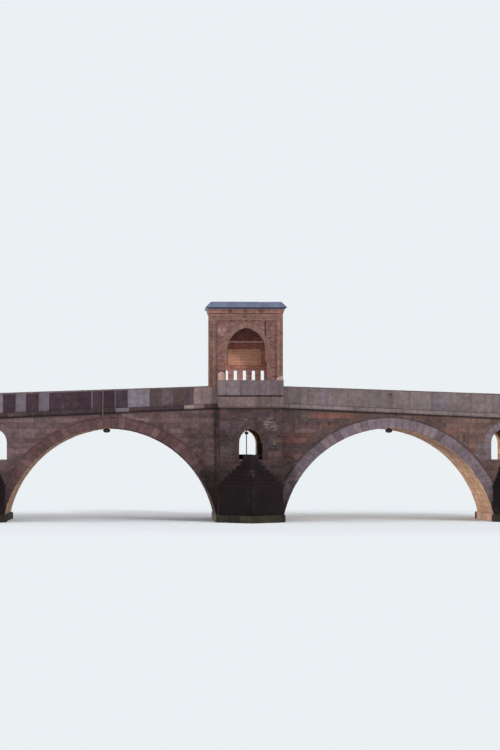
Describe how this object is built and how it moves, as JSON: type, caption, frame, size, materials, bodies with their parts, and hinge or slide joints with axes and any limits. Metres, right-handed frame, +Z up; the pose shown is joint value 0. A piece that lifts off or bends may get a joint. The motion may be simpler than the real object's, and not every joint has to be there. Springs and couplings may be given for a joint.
{
  "type": "stone arch bridge",
  "caption": "Stone bridge of pointed arches on piers with pointed cutwaters, with a balcony and a small vaulted brick kiosk over the middle pier.",
  "frame": {"origin": "axis of the middle pier at the water line, on the base of its footing", "axes": "+X along the road, towards the right end as seen from the balcony side; +Y across the bridge, from the balcony towards the kiosk; +Z up"},
  "size_m": [38.72, 13.2276, 13.9541],
  "materials": {
    "wall_stone": "coursed limestone, weathered",
    "ring_stone": "dressed voussoirs, weathered",
    "river_stone": "dark damp stone",
    "slab_stone": "dressed slabs",
    "string_stone": "dressed stone",
    "paving_stone": "worn paving slabs",
    "kiosk_brick": "brickwork with pale joints",
    "tablet_stone": "dressed stone, bare",
    "roof_lead": "lead sheet with a dull sheen",
    "lamp_metal": "dark paint",
    "conduit_metal": "pale paint"
  },
  "bodies": {
    "root": {"balcony_base": "slab_stone", "balcony_corner_stones": "slab_stone", "balcony_parapet": "slab_stone", "central_far_cutwater": "river_stone", "central_near_cutwater": "river_stone", "central_pier": "wall_stone", "crown_conduit": "conduit_metal", "crown_lamps": "lamp_metal", "far_hood_moulds": "ring_stone", "footings": "river_stone", "kiosk_back_wall": "kiosk_brick", "kiosk_buttress": "wall_stone", "kiosk_cornice": "kiosk_brick", "kiosk_floor": "paving_stone", "kiosk_front_wall": "kiosk_brick", "kiosk_ledge": "kiosk_brick", "kiosk_left_wall": "kiosk_brick", "kiosk_right_wall": "kiosk_brick", "kiosk_roof": "roof_lead", "kiosk_tablet": "tablet_stone", "kiosk_vault": "kiosk_brick", "left_abutment": "wall_stone", "left_far_cutwater": "river_stone", "left_far_parapet": "slab_stone", "left_far_spandrel": "wall_stone", "left_far_string_course": "string_stone", "left_fill": "wall_stone", "left_near_cutwater": "river_stone", "left_near_parapet": "slab_stone", "left_near_spandrel": "wall_stone", "left_near_string_course": "string_stone", "left_vault": "ring_stone", "near_hood_moulds": "ring_stone", "near_pilaster": "wall_stone", "right_abutment": "wall_stone", "right_far_cutwater": "river_stone", "right_far_parapet": "slab_stone", "right_far_spandrel": "wall_stone", "right_far_string_course": "string_stone", "right_fill": "wall_stone", "right_near_cutwater": "river_stone", "right_near_parapet": "slab_stone", "right_near_spandrel": "wall_stone", "right_near_string_course": "string_stone", "right_vault": "ring_stone", "road_paving": "paving_stone"}
  },
  "joints": []
}
